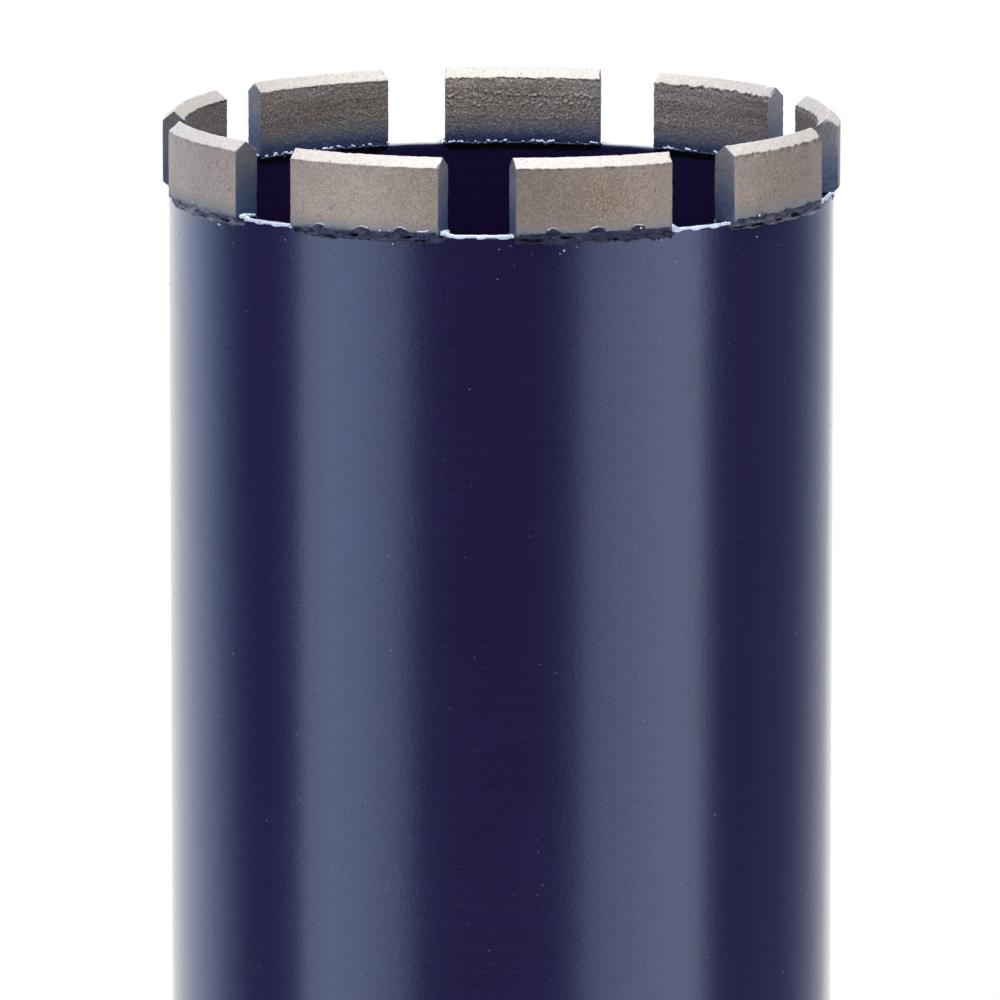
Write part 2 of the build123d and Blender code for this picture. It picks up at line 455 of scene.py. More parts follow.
def sintered_segment():
    """Pressed and sintered metal powder, ground on its ridge, with diamond grit, pores and paint mist, and
    painted light and shade: dark pores, pale grains, faces lighter or darker.
    """
    material, tree, shader, place = new_material("sintered_segment")
    bore_side = surface_value(tree, "bore_side")
    clouds = grain(tree, place, 240.0, 4.0, 0.6)
    powder = grain(tree, place, 3400.0, 2.0, 0.6)
    crumbs = grain(tree, place, 1700.0, 3.0, 0.7)
    holes = spots(tree, place, 800.0)
    uneven = spans(tree, crumbs, 0.25, 0.75, 0.70, 1.22)
    mist = math_node(tree, "MULTIPLY", surface_value(tree, "paint_mist"), uneven)
    mist = math_node(tree, "MINIMUM", mist, 1.0)
    tone = speckled(tree, matrix_tone(tree, place, clouds), powder, crumbs, holes)
    tree.links.new(misted(tree, tone, mist), shader.inputs["Base Color"])

    dull = math_node(tree, "MAXIMUM", surface_value(tree, "ridge"), bore_side)
    metal = spans(tree, dull, 0.0, 1.0, 0.55, 0.30)
    bare = spans(tree, mist, 0.0, 1.0, 1.0, 0.2)
    tree.links.new(math_node(tree, "MULTIPLY", metal, bare), shader.inputs["Metallic"])
    tree.links.new(spans(tree, powder, 0.25, 0.75, 0.44, 0.56), shader.inputs["Roughness"])
    relief = add_bump(tree, shader, powder, 0.000020)
    relief = add_bump(tree, shader, crumbs, 0.000045, relief)
    rubble = math_node(tree, "MULTIPLY", grain(tree, place, 2300.0, 2.0, 0.6), bore_side)
    relief = add_bump(tree, shader, rubble, 0.00016, relief)
    add_bump(tree, shader, spans(tree, holes, 0.03, 0.12), 0.00006, relief)
    return material


def painted_braze():
    """Frozen braze under the mist of the barrel's paint, with painted shade in its creases and crevices and
    a painted highlight along the nuggets' crests.
    """
    material, tree, shader, place = new_material(
        "painted_braze", Roughness=0.36, Specular_IOR_Level=0.35, Specular_Tint=(0.45, 0.58, 1.0, 1.0)
    )
    clouds = grain(tree, place, 700.0, 3.0, 0.6)
    specks = grain(tree, place, 3800.0, 2.0)
    tone = mottle(tree, clouds, 0.35, 0.65, PAINTED_BRAZE)
    tone = blend_colours(tree, spans(tree, specks, 0.64, 0.78), tone, BRAZE_SPECK)
    # Painted shade: the pits value darkens creases, crevices and shaded beads near black.
    tone = blend_colours(tree, surface_value(tree, "pits"), tone, CREVICE_SHADE_BRAZE)
    # Painted highlight along the nuggets' crests, also paling the folds where the haze is.
    tone = blend_colours(tree, surface_value(tree, "worn"), tone, PALE_FOLD_AND_HIGHLIGHT)
    tree.links.new(tone, shader.inputs["Base Color"])
    tree.links.new(spans(tree, clouds, 0.40, 0.70, 0.05, 0.30), shader.inputs["Metallic"])
    relief = add_bump(tree, shader, clouds, 0.00009)
    add_bump(tree, shader, specks, 0.00002, relief)
    return material


def bright_braze():
    """Silver braze that ran out over the rim and froze bright, painted only where it lies over the bore."""
    material, tree, shader, place = new_material("bright_braze", Metallic=0.35, Roughness=0.40)
    clouds = grain(tree, place, 1200.0, 3.0, 0.6)
    flat_place = vector_math(tree, "MULTIPLY", place, (1.0, 1.0, 0.0)).outputs[0]
    radius = vector_math(tree, "LENGTH", flat_place).outputs["Value"]
    over_bore = spans(tree, radius, INNER_R * MM, (INNER_R + 0.4) * MM, 1.0, 0.0)
    level = add_node(tree, "ShaderNodeSeparateXYZ", Vector=place).outputs["Z"]
    low = spans(tree, level, (RIM + 0.05) * MM, (RIM + 0.35) * MM, 0.34, 0.02)
    painted = math_node(tree, "MULTIPLY", over_bore, low)
    bare = math_node(tree, "SUBTRACT", clouds, painted)
    tree.links.new(mottle(tree, bare, 0.24, 0.42, BRIGHT_BRAZE), shader.inputs["Base Color"])
    add_bump(tree, shader, clouds, 0.00003)
    return material


def overhang_shadow():
    """Painted shadow: near-black colour for the fillet in the corner under each segment's overhang."""
    material, tree, shader, place = new_material("overhang_shadow", Roughness=0.8, Specular_IOR_Level=0.12)
    blotches = grain(tree, place, 1800.0, 3.0, 0.6)
    tree.links.new(mottle(tree, blotches, 0.35, 0.75, OVERHANG_SHADOW_BLACK), shader.inputs["Base Color"])
    add_bump(tree, shader, blotches, 0.00006)
    return material


def hub_steel():
    """Turned and milled bare steel with a thin film of oil."""
    material, tree, shader, place = new_material("hub_steel", Metallic=1.0)
    clouds = grain(tree, place, 70.0, 4.0, 0.6)
    rings = grain(tree, place, 1.0, 3.0, 0.6, (45.0, 45.0, 4200.0))
    sanding = grain(tree, place, 1.0, 3.0, 0.6, (2600.0, 2600.0, 60.0))
    tone = mottle(tree, clouds, 0.30, 0.70, TURNED_STEEL)
    tone = blend_colours(tree, spans(tree, sanding, 0.30, 0.70, 0.0, 0.35), tone, SANDED_STEEL)
    tree.links.new(tone, shader.inputs["Base Color"])
    tree.links.new(spans(tree, clouds, 0.25, 0.75, 0.26, 0.42), shader.inputs["Roughness"])
    relief = add_bump(tree, shader, rings, 0.000012)
    add_bump(tree, shader, sanding, 0.000006, relief)
    return material


# ---------------------------------------------------------------- mesh tools

def waves(points, length, seed, count=18):
    """Smooth random relief from -1 to 1 at the points: plane waves of about that length, mixed."""
    rng = np.random.default_rng(seed)
    ways = rng.normal(size=(count, 3))
    ways /= np.linalg.norm(ways, axis=1)[:, None]
    lengths = length * rng.uniform(0.6, 1.6, count)
    starts = rng.uniform(0.0, 2 * math.pi, count)
    total = np.zeros(len(points))
    for way, wave_length, start in zip(ways, lengths, starts):
        total += np.sin(points @ way * (2 * math.pi / wave_length) + start)
    usual_peak = 1.4
    return total / math.sqrt(count) / usual_peak


def fall(values, start, end):
    """From 1 at the start of a span smoothly to 0 at its end."""
    t = np.clip((np.asarray(values) - start) / (end - start), 0, 1)
    return 1 - t * t * (3 - 2 * t)


def finish_mesh(name, points, faces, material, sharp=40.0):
    """A piece from points in millimetres, smooth but for creases of more than the sharp angle."""
    mesh = bpy.data.meshes.new(name)
    mesh.from_pydata((np.asarray(points) * MM).tolist(), [], np.asarray(faces).tolist())
    mesh.validate()
    mesh.polygons.foreach_set("use_smooth", [True] * len(mesh.polygons))
    if sharp is not None:
        mesh.set_sharp_from_angle(angle=math.radians(sharp))
    mesh.materials.append(material)
    piece = bpy.data.objects.new(name, mesh)
    bpy.context.scene.collection.objects.link(piece)
    return piece


def empty_piece(name):
    """An object with an empty mesh, for a tree to fill."""
    piece = bpy.data.objects.new(name, bpy.data.meshes.new(name))
    bpy.context.scene.collection.objects.link(piece)
    return piece


def declare(piece, slot, *nodes):
    """The piece rides on the bit's one body and stands for those nodes."""
    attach(piece, "root")
    if nodes:
        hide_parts(*nodes)


def add_values(piece, name, values):
    """A number at each point of the piece, for its material."""
    attribute = piece.data.attributes.new(name, "FLOAT", "POINT")
    attribute.data.foreach_set("value", np.asarray(values, np.float32))


def turned(profile, sides):
    """Points and faces of a closed profile of (radius, height), turned round the axis."""
    profile = np.asarray(profile, float)
    rows = len(profile)
    angles = np.arange(sides) * 2 * math.pi / sides
    radius = np.tile(profile[:, 0], sides)
    height = np.tile(profile[:, 1], sides)
    angle = np.repeat(angles, rows)
    points = np.stack([radius * np.cos(angle), radius * np.sin(angle), height], 1)
    return points, ring_faces(sides, rows)


def ring_faces(sides, rows):
    """Quads of a lattice that closes on itself both ways, column by column."""
    column = np.repeat(np.arange(sides), rows)
    row = np.tile(np.arange(rows), sides)
    next_column = (column + 1) % sides
    next_row = (row + 1) % rows
    return np.stack([column * rows + row, next_column * rows + row,
                     next_column * rows + next_row, column * rows + next_row], 1)


def steps(start, end, count):
    """Points along a straight run, its first point included and its last left out."""
    t = np.arange(count)[:, None] / count
    return np.asarray(start) + t * (np.asarray(end) - np.asarray(start))


def corner_arc(centre, radius, start, end, count):
    """Points along an arc from one angle to another in degrees, both ends included."""
    angles = np.radians(np.linspace(start, end, count))
    return np.stack([centre[0] + radius * np.cos(angles), centre[1] + radius * np.sin(angles)], 1)


# ---------------------------------------------------------------- barrel and end plate

def barrel_piece(material):
    """The tube, with the soft lip that the paint gives its rim and a fine step at the dressed weld."""
    lip = LIP_RADIUS
    bore_lip = BORE_LIP_RADIUS
    seam_top = PLATE_TOP + SEAM_DEPTH
    band = RIM - RIM_BAND
    rows = [
        steps((INNER_R, PLATE_TOP), (OUTER_R - SEAM_DEPTH, PLATE_TOP), 3),
        steps((OUTER_R - SEAM_DEPTH, PLATE_TOP), (OUTER_R, seam_top), 2),
        steps((OUTER_R, seam_top), (OUTER_R, band), 14),
        steps((OUTER_R, band), (OUTER_R, RIM - lip), 12),
        corner_arc((OUTER_R - lip, RIM - lip), lip, 0, 90, 7),
        steps((OUTER_R - lip, RIM), (INNER_R + bore_lip, RIM), 6)[1:],
        corner_arc((INNER_R + bore_lip, RIM - bore_lip), bore_lip, 90, 180, 5),
        steps((INNER_R, RIM - bore_lip), (INNER_R, band), 12)[1:],
        steps((INNER_R, band), (INNER_R, PLATE_TOP), 10),
    ]
    points, faces = turned(np.concatenate(rows), BARREL_SIDES)
    near_rim = np.clip((points[:, 2] - (RIM - LIP_WAVE_REACH)) / LIP_WAVE_REACH, 0, 1)
    points[:, 2] -= near_rim * LIP_WAVE * (1 + waves(points, 4.0, 11))
    return finish_mesh("barrel_tube", points, faces, material)


def end_plate_piece(material):
    """The plate under the barrel, its rim softened and its water way broken at both edges."""
    soft = PLATE_EDGE_RADIUS
    bevel = WATER_WAY_BEVEL
    hole_r = WATER_WAY_R
    seam_r = OUTER_R - SEAM_DEPTH
    profile = np.concatenate([
        steps((hole_r + bevel, PLATE_BOTTOM), (OUTER_R - soft, PLATE_BOTTOM), 6),
        corner_arc((OUTER_R - soft, PLATE_BOTTOM + soft), soft, -90, 0, 6),
        steps((OUTER_R, PLATE_BOTTOM + soft), (OUTER_R, PLATE_TOP - SEAM_DEPTH), 6)[1:],
        steps((OUTER_R, PLATE_TOP - SEAM_DEPTH), (seam_r, PLATE_TOP), 2),
        steps((seam_r, PLATE_TOP), (hole_r + bevel, PLATE_TOP), 6),
        steps((hole_r + bevel, PLATE_TOP), (hole_r, PLATE_TOP - bevel), 2),
        steps((hole_r, PLATE_TOP - bevel), (hole_r, PLATE_BOTTOM + bevel), 4),
        steps((hole_r, PLATE_BOTTOM + bevel), (hole_r + bevel, PLATE_BOTTOM), 2),
    ])
    points, faces = turned(profile, PLATE_SIDES)
    return finish_mesh("end_plate_disc", points, faces, material)


# ---------------------------------------------------------------- segments

def station(points, number):
    """Points in (radius, along, height) of the segment on +X, placed at that segment's station."""
    x = np.sqrt(points[:, 0] ** 2 - points[:, 1] ** 2)
    angle = math.radians(FIRST_SEGMENT_ANGLE + (number - 1) * 360.0 / SEGMENT_COUNT)
    return np.stack([
        x * math.cos(angle) - points[:, 1] * math.sin(angle),
        x * math.sin(angle) + points[:, 1] * math.cos(angle),
        points[:, 2],
    ], 1)


def spread(count, pull=0.55):
    """Places from 0 to 1, closer together towards both ends."""
    t = np.linspace(0.0, 1.0, count + 1)
    return t - pull * np.sin(2 * math.pi * t) / (2 * math.pi)


def block_shell(counts):
    """The cells of a lattice that lie on its outside, and the quads that join them, facing out."""
    index = -np.ones([count + 1 for count in counts], int)
    grid = np.indices(index.shape)
    outside = np.zeros(index.shape, bool)
    for axis, count in enumerate(counts):
        outside |= (grid[axis] == 0) | (grid[axis] == count)
    index[outside] = np.arange(outside.sum())
    quads = []
    for axis, count in enumerate(counts):
        for side in (0, count):
            sheet = np.take(index, side, axis=axis)
            quad = np.stack([sheet[:-1, :-1], sheet[1:, :-1], sheet[1:, 1:], sheet[:-1, 1:]], -1)
            quad = quad.reshape(-1, 4)
            faces_out = (side > 0) != (axis == 1)
            quads.append(quad if faces_out else quad[:, ::-1])
    return np.argwhere(outside), np.concatenate(quads)


def segment_planes():
    """Directions and distances of the seven faces of a segment, in (radius, along, height)."""
    tilt = math.atan(ROOF_SLOPE)
    outward = np.array([math.sin(tilt), 0.0, math.cos(tilt)])
    inward = np.array([-math.sin(tilt), 0.0, math.cos(tilt)])
    crest = np.array([CREST_R, 0.0, CREST])
    return [
        (np.array([-1.0, 0.0, 0.0]), -SEGMENT_INNER_R),
        (np.array([1.0, 0.0, 0.0]), SEGMENT_OUTER_R),
        (np.array([0.0, 0.0, -1.0]), -SEGMENT_BASE),
        (outward, outward @ crest),
        (inward, inward @ crest),
        (np.array([0.0, 1.0, 0.0]), HALF_LENGTH),
        (np.array([0.0, -1.0, 0.0]), HALF_LENGTH),
    ]


def worn_edges(points, radius):
    """A sharp segment's points moved in so that its edges have that radius, and the normals there.

    Each round drops the points onto the planes in turn, so that they settle on the nearest point
    of the segment shrunk by the radius. The radius is then added back.
    """
    planes = segment_planes()
    inside = points.copy()
    kept = [np.zeros_like(points) for _ in planes]
    rounds = 14
    for _ in range(rounds):
        for number, (way, distance) in enumerate(planes):
            trial = inside + kept[number]
            over = np.maximum(trial @ way - (distance - radius), 0.0)
            moved = trial - over[:, None] * way
            kept[number] = trial - moved
            inside = moved
    offset = points - inside
    length = np.linalg.norm(offset, axis=1)
    normals = offset / np.maximum(length, 1e-9)[:, None]
    return inside + radius[:, None] * normals, normals


# Chips knocked out of each segment: place along it, radius and height above the base, then size.
CHIPS = {
    1: [(-9.0, 50.9, 10.1, 0.5), (4.0, 49.25, 11.5, 0.35), (11.9, 50.2, 11.0, 0.5)],
    2: [(11.9, 50.7, 10.3, 0.7), (10.7, 51.0, 10.0, 0.5), (11.9, 49.4, 11.3, 0.5),
        (-6.0, 49.25, 11.5, 0.3)],
    3: [(-11.9, 49.3, 11.2, 0.6), (2.0, 50.9, 10.1, 0.5)],
    4: [(-10.0, 49.25, 11.4, 0.7), (-11.8, 48.0, 10.5, 0.9), (9.5, 47.5, 4.5, 0.8), (10.6, 47.5, 6.0, 0.6)],
    5: [(-11.9, 48.4, 10.7, 0.4), (-11.8, 47.6, 9.8, 0.4), (7.0, 49.25, 11.5, 0.3)],
    6: [(11.8, 48.9, 11.0, 0.7), (-4.0, 49.25, 11.5, 0.4)],
    7: [(3.0, 49.25, 11.5, 0.6), (-8.0, 49.25, 11.5, 0.5)],
    8: [(-11.9, 50.0, 10.9, 0.6), (5.0, 49.25, 11.5, 0.35)],
    9: [(-3.2, 49.25, 11.5, 0.45), (-1.9, 49.25, 11.5, 0.4), (11.9, 50.6, 10.2, 0.6)],
}


def edge_radius(points, number):
    """How far each point's nearest edge is worn away: a little everywhere, more at the chips."""
    ragged = waves(points, 0.9, 100 + number)
    long_wear = waves(points, 6.0, 200 + number)
    radius = np.maximum(EDGE_RADIUS * (1.0 + 0.55 * ragged + 0.35 * long_wear), SHARPEST_EDGE)
    jagged = 1.0 + 0.35 * waves(points, 1.1, 300 + number)
    for along, r, height, size in CHIPS[number]:
        centre = np.array([r, along, SEGMENT_BASE + height])
        far = np.linalg.norm(points - centre, axis=1) * jagged / size
        radius += size * np.clip(1.15 - far, 0.0, 1.0) ** 0.7
    return np.minimum(radius, LARGEST_CHIP)


def torn_shoulders(points, number):
    """The points with bites torn out of both long shoulders, and how torn each point is."""
    points = points.copy()
    torn = np.zeros(len(points))
    above = points[:, 2] - SEGMENT_BASE
    for side, (depth, face_r) in enumerate(zip(TORN[number], (SEGMENT_INNER_R, SEGMENT_OUTER_R))):
        inward = 1 if side == 0 else -1
        bites = np.clip(2.6 * waves(points, 1.1, 350 + number + 40 * side), 0, 1)
        bites += 0.6 * np.clip(2.0 * waves(points, 3.6, 360 + number + 40 * side), 0, 1)
        reach = np.clip(1 - (points[:, 0] - face_r) * inward / TORN_WIDTH, 0, 1)
        shift = depth * bites * reach * (1 - fall(above, 9.2, 9.8))
        points[:, 0] += inward * shift
        points[:, 2] += shift * ROOF_SLOPE * (1 - fall(above, 9.2, 9.9))
        torn = np.maximum(torn, np.clip(shift / 0.12, 0, 1))
    return points, torn


def bevelled_foot(points):
    """The points with the outer foot edge ground away at a slant."""
    points = points.copy()
    start_r = OUTER_R + 0.15
    bevel_height = 2.2
    above = points[:, 2] - SEGMENT_BASE
    slant = np.clip((points[:, 0] - start_r) / (SEGMENT_OUTER_R - start_r), 0, 1)
    points[:, 2] += FOOT_BEVEL * slant * np.clip(1 - above / bevel_height, 0, 1)
    return points


def pit_places(number):
    """Pits in a segment's curved faces, as (face radius, along, height, size, depth).

    A grain stands out of the face, so its depth is below zero. A shallow pit under each grain paints its
    shadow.
    """
    rng = np.random.default_rng(400 + number)
    pits = []
    outer_pits = OUTER_PITS.get(number, FEW_PITS)
    for face_r, count in ((SEGMENT_OUTER_R, outer_pits), (SEGMENT_INNER_R, BORE_PITS)):
        for _ in range(count):
            along = rng.uniform(-11.0, 11.0)
            height = rng.uniform(1.5, 9.4)
            pits.append((face_r, along, height, rng.uniform(0.16, 0.26), rng.uniform(0.06, 0.14)))
    for row, count in GRAIN_ROWS.get(number, ()):
        for _ in range(count):
            along = rng.uniform(-11.3, 11.3)
            height = row + rng.uniform(-0.45, 0.45)
            size = rng.uniform(0.17, 0.27)
            depth = rng.uniform(0.10, 0.20)
            # Painted shadow: a shallow dark pit just under the grain.
            hollow = (along + rng.uniform(-0.15, 0.15), height - 0.9 * size, 0.8 * size, 0.8 * depth)
            pits.append((SEGMENT_INNER_R, along, height, size, -depth))
            pits.append((SEGMENT_INNER_R, *hollow))
    return pits


def segment_lattice(number):
    """A sharp segment's points as (radius, along, height), closer together at its edges, and its quads."""
    counts = FINE_DIVISIONS.get(number, SEGMENT_DIVISIONS)
    cells, faces = block_shell(counts)
    half_places = spread(counts[0] // 2, 0.4) / 2
    across = np.concatenate([half_places, 0.5 + half_places[1:]])
    radius = SEGMENT_INNER_R + SEGMENT_THICKNESS * across[cells[:, 0]]
    along = SEGMENT_LENGTH * (spread(counts[1])[cells[:, 1]] - 0.5)
    top = CREST - np.abs(radius - CREST_R) * ROOF_SLOPE
    height = SEGMENT_BASE + (top - SEGMENT_BASE) * spread(counts[2])[cells[:, 2]]
    return np.stack([radius, along, height], 1), faces


def pitted(points, bore, number):
    """How deep the powder's texture and pits sink each point, and where pits (1) and grains (-1) are."""
    sunk = 0.012 * (1 + waves(points, 0.8, 500 + number)) + 0.02 * (1 + waves(points, 7.0, 600 + number))
    sunk += bore * 0.010 * (1 + waves(points, 0.5, 650 + number))
    pores = np.zeros(len(points))
    for face_r, place, up, size, depth in pit_places(number):
        centre = np.array([face_r, place, SEGMENT_BASE + up])
        shape = np.clip(1 - (np.linalg.norm(points - centre, axis=1) / size) ** 2, 0, 1)
        sunk += depth * shape
        pores = np.where(shape > np.abs(pores), shape * np.sign(depth), pores)
    return sunk, pores


def segment_looks(points, normals, pores, number):
    """The values that the segment's material reads at each point, by name."""
    above = points[:, 2] - SEGMENT_BASE
    rise = above + 0.16 * waves(points, 2.5, 700 + number) + 0.10 * waves(points, 0.7, 800 + number)
    outer_side = np.clip(normals[:, 0], 0, 1)
    sawn_end = np.abs(normals[:, 1])
    ridge = np.clip(normals[:, 2] * 1.6 - 0.3, 0, 1)
    bore_side = np.clip(-normals[:, 0], 0, 1) * (1 - ridge)
    # Painted light and shade: each face made lighter or darker by its segment's SHADE.
    shade = 1 + (np.array(SHADE[number]) - 1) @ np.stack([outer_side * (1 - ridge), bore_side, sawn_end])
    # The mist is low outside, higher in the bore and highest on the ends. The foot is painted solid.
    thin = THIN_MIST.get(number, 1.0)
    mist = outer_side * 0.90 * fall(rise, 0.1, MIST_REACH.get(number, 1.7))
    mist += bore_side * fall(rise, 0.6, 5.2) * thin
    mist += sawn_end * (0.12 + 0.80 * fall(rise, 2.0, 10.5)) * thin
    mist = np.clip(mist * (1 - ridge), 0, 1)
    foot = bore_side * 0.85 * fall(rise, 0.3, 1.7) + outer_side * 0.62 * fall(rise, 0.0, 0.85)
    foot += sawn_end * END_FOOT.get(number, 0.1) * fall(rise, 0.0, 4.0)
    middle = np.exp(-((points[:, 1] - 1.0) / 6.0) ** 2 - ((above - 5.5) / 3.0) ** 2)
    rust = outer_side * middle * RUST.get(number, 0.0)
    return {"paint_mist": mist, "pores": pores, "bore_side": bore_side, "sawn_end": sawn_end,
            "ridge": ridge, "rust": rust, "shade": shade, "foot": foot}


def segment_piece(number, material):
    """One segment: a curved block under a ridge, its edges worn and chipped, its faces pitted."""
    sharp, faces = segment_lattice(number)
    worn, normals = worn_edges(sharp, edge_radius(sharp, number))
    sunk, pores = pitted(worn, np.clip(-normals[:, 0], 0, 1), number)
    looks = segment_looks(worn, normals, pores, number)
    points, torn = torn_shoulders(worn - sunk[:, None] * normals, number)
    # Painted shade: the bites torn out of the shoulders are darkened for the shade that falls in them.
    at_shoulder = 1 - fall(worn[:, 2] - SEGMENT_BASE, 9.0, 9.6)
    looks["shade"] *= 1 - 0.35 * torn * (1 - looks["ridge"]) * at_shoulder
    if number in LEAN_BEADS:
        points = bevelled_foot(points)
    piece = finish_mesh(f"sintered_block_{number}", station(points, number), faces, material, None)
    for name, values in looks.items():
        add_values(piece, name, values)
    return piece


# ---------------------------------------------------------------- geometry node trees

def new_tree(name, inputs):
    """A geometry tree with a geometry input and those named inputs: (name, kind, value).

    It comes with the sockets that give those inputs, and its output node.
    """
    tree = bpy.data.node_groups.new(name, "GeometryNodeTree")
    tree.interface.new_socket("Geometry", in_out="INPUT", socket_type="NodeSocketGeometry")
    tree.interface.new_socket("Geometry", in_out="OUTPUT", socket_type="NodeSocketGeometry")
    for label, kind, value in inputs:
        socket = tree.interface.new_socket(label, in_out="INPUT", socket_type=kind)
        if value is not None:
            socket.default_value = value
    return tree, tree.nodes.new("NodeGroupInput").outputs, tree.nodes.new("NodeGroupOutput")


def end_tree(tree, made, material, result):
    """The tree's last nodes: smooth shading and the material."""
    smooth = add_node(tree, "GeometryNodeSetShadeSmooth", Geometry=made.outputs[0])
    painted = add_node(tree, "GeometryNodeSetMaterial", Geometry=smooth.outputs[0], Material=material)
    tree.links.new(painted.outputs[0], result.inputs[0])


def grow(piece, tree, values):
    """The piece as a plain mesh after the tree has run with those values for its named inputs."""
    modifier = piece.modifiers.new(tree.name, "NODES")
    modifier.node_group = tree
    for socket in tree.interface.items_tree:
        if socket.in_out == "INPUT" and socket.name in values:
            modifier[socket.identifier] = values[socket.name]
    depsgraph = bpy.context.evaluated_depsgraph_get()
    grown = bpy.data.meshes.new_from_object(piece.evaluated_get(depsgraph))
    piece.modifiers.remove(modifier)
    piece.data = grown
    grown.name = piece.name
    return piece


# ---------------------------------------------------------------- nibs and splashes

def random_value(tree, seed, low, high):
    """A random number from low to high at each point."""
    made = add_node(tree, "FunctionNodeRandomValue", {"data_type": "FLOAT"}, Seed=seed, n2=low, n3=high)
    return made.outputs[1]


def nib_place(tree, given):
    """A random place on a tube's outside between two levels."""
    angle = random_value(tree, given["Seed"], 0.0, 2 * math.pi)
    next_seed = math_node(tree, "ADD", given["Seed"], 1.0)
    height = random_value(tree, next_seed, given["Lower Level"], given["Upper Level"])
    across = math_node(tree, "COSINE", angle)
    deep = math_node(tree, "SINE", angle)
    way = add_node(tree, "ShaderNodeCombineXYZ", X=across, Y=deep).outputs[0]
    level = add_node(tree, "ShaderNodeCombineXYZ", Z=height).outputs[0]
    out = vector_math(tree, "SCALE", way, Scale=given["Radius"]).outputs[0]
    return vector_math(tree, "ADD", out, level).outputs[0]


def nib_size(tree, given):
    """A nib's length, width and height off the tube: most are small, a few are large."""
    size = random_value(tree, math_node(tree, "ADD", given["Seed"], 2.0), 0.55, 1.0)
    few_large = math_node(tree, "POWER", size, 3.0)
    length = math_node(tree, "MULTIPLY", few_large, given["Nib Size"])
    width = math_node(tree, "MULTIPLY", length, 0.75)
    height = math_node(tree, "MULTIPLY", length, 0.35)
    return add_node(tree, "ShaderNodeCombineXYZ", X=length, Y=width, Z=height).outputs[0]


def nib_tree():
    """Scatters flat nibs over a tube's outside."""
    tree, given, result = new_tree("nibs", [
        ("Count", "NodeSocketInt", 100), ("Radius", "NodeSocketFloat", 0.05),
        ("Lower Level", "NodeSocketFloat", 0.0), ("Upper Level", "NodeSocketFloat", 1.0),
        ("Nib Size", "NodeSocketFloat", 0.0002), ("Roundness", "NodeSocketInt", 1),
        ("Seed", "NodeSocketInt", 1), ("Material", "NodeSocketMaterial", None),
    ])
    points = add_node(tree, "GeometryNodePoints", Count=given["Count"], Position=nib_place(tree, given))
    position = add_node(tree, "GeometryNodeInputPosition").outputs[0]
    out = vector_math(tree, "MULTIPLY", position, (1.0, 1.0, 0.0)).outputs[0]
    stand = add_node(tree, "FunctionNodeAlignRotationToVector", {"axis": "Z"}, Vector=out)
    ball = add_node(tree, "GeometryNodeMeshIcoSphere", Radius=1.0, Subdivisions=given["Roundness"])
    placed = add_node(tree, "GeometryNodeInstanceOnPoints", Points=points.outputs[0],
                      Instance=ball.outputs[0], Rotation=stand.outputs[0], Scale=nib_size(tree, given))
    real = add_node(tree, "GeometryNodeRealizeInstances", Geometry=placed.outputs[0])
    end_tree(tree, real, given["Material"], result)
    return tree


def paint_nibs(tree, material):
    """The dust nibs that stand on the barrel's enamel."""
    above_plate, below_rim = NIB_MARGIN
    return grow(empty_piece("paint_nibs"), tree, {
        "Count": NIB_COUNT, "Roundness": 1, "Radius": OUTER_R * MM, "Nib Size": NIB_SIZE * MM,
        "Lower Level": (PLATE_TOP + above_plate) * MM, "Upper Level": (RIM - below_rim) * MM,
        "Seed": 7, "Material": material,
    })


def braze_spatter(tree, material):
    """Beads of braze spat on the barrel just under the crown."""
    lowest, highest = SPATTER_BAND
    return grow(empty_piece("braze_spatter"), tree, {
        "Count": SPATTER_COUNT, "Roundness": 2, "Radius": OUTER_R * MM, "Nib Size": NIB_SIZE * MM,
        "Lower Level": (RIM - lowest) * MM, "Upper Level": (RIM - highest) * MM,
        "Seed": 31, "Material": material,
    })


# ---------------------------------------------------------------- braze

def bead_tree():
    """Melts drops of molten metal into one skin: every point is a drop whose size is its own value."""
    tree, given, result = new_tree("braze_skin", [
        ("Voxel", "NodeSocketFloat", 0.1), ("Unit", "NodeSocketFloat", MM),
        ("Material", "NodeSocketMaterial", None),
    ])
    drop = add_node(tree, "GeometryNodeInputNamedAttribute", {"data_type": "FLOAT"}, Name="drop").outputs[0]
    points = add_node(tree, "GeometryNodeMeshToPoints", Mesh=given["Geometry"], Radius=drop)
    solid = add_node(tree, "GeometryNodePointsToVolume", {"resolution_mode": "VOXEL_SIZE"},
                     Points=points.outputs[0], Density=1.0, Voxel_Size=given["Voxel"], Radius=drop)
    skin = add_node(tree, "GeometryNodeVolumeToMesh", Volume=solid.outputs[0], Threshold=0.1)
    small = add_node(tree, "GeometryNodeTransform", Geometry=skin.outputs[0])
    tree.links.new(given["Unit"], small.inputs["Scale"])
    end_tree(tree, small, given["Material"], result)
    return tree


# Crevices that the braze left open, by segment: place along it, height over the rim, half length
# and half height.
CREVICES = {
    1: [(-9.6, -0.80, 2.4, 0.38), (-4.6, -0.45, 1.3, 0.18), (2.6, -0.95, 0.9, 0.2),
        (-1.3, -1.3, 1.2, 0.14)],
    9: [(-10.4, -0.72, 1.4, 0.52), (-4.8, -1.15, 1.4, 0.16), (-1.0, -0.65, 0.8, 0.24),
        (7.2, -0.55, 1.1, 0.2), (9.0, -1.05, 1.2, 0.2), (2.0, -1.2, 1.0, 0.14)],
}


def crevices(number):
    """The crevices of a segment's braze: those on the list, or some at random."""
    if number in CREVICES:
        return CREVICES[number]
    rng = np.random.default_rng(1500 + number)
    some = []
    for _ in range(6):
        place = rng.uniform(-10.5, 10.5)
        height = rng.uniform(-1.2, -0.4)
        some.append((place, height, rng.uniform(0.7, 1.8), rng.uniform(0.14, 0.34)))
    return some


